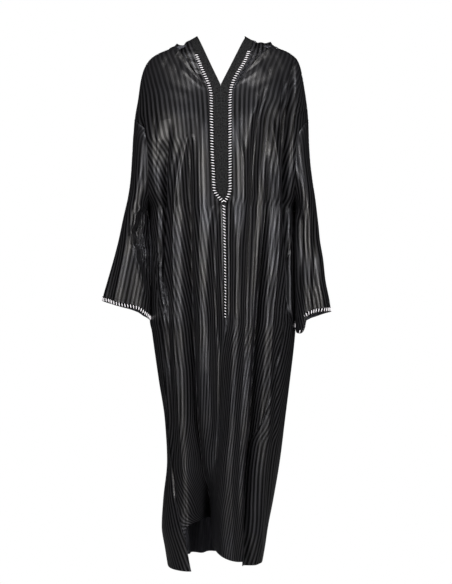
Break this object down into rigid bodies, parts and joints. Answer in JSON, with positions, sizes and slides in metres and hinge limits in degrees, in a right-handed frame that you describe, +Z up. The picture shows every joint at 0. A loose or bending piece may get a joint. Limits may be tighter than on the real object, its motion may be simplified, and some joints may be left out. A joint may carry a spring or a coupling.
{
  "type": "djellaba robe",
  "caption": "Long hooded djellaba robe in striped cloth, worn shape with no wearer, with a braided V neck and placket, wide sleeves, side slits and a hood down the back.",
  "frame": {"origin": "centre of the neck, level with the top of the shoulder line, where the wearer's shoulders hold the robe", "axes": "+Z up, the front faces -Y, +X to the wearer's left"},
  "size_m": [0.6382, 0.3602, 1.4798],
  "materials": {
    "cloth": "black cloth with narrow satin and matte stripes along its length",
    "grosgrain": "matte black ribbed band",
    "braid": "silver-white twisted braid with a dark edge"
  },
  "bodies": {
    "root": {"front": "cloth", "back": "cloth", "sleeve_right": "cloth", "sleeve_left": "cloth", "hood": "cloth", "band_right": "grosgrain", "band_left": "grosgrain", "braid_neck": "braid", "braid_front": "braid", "braid_cuff_right": "braid", "braid_cuff_left": "braid"}
  },
  "joints": []
}
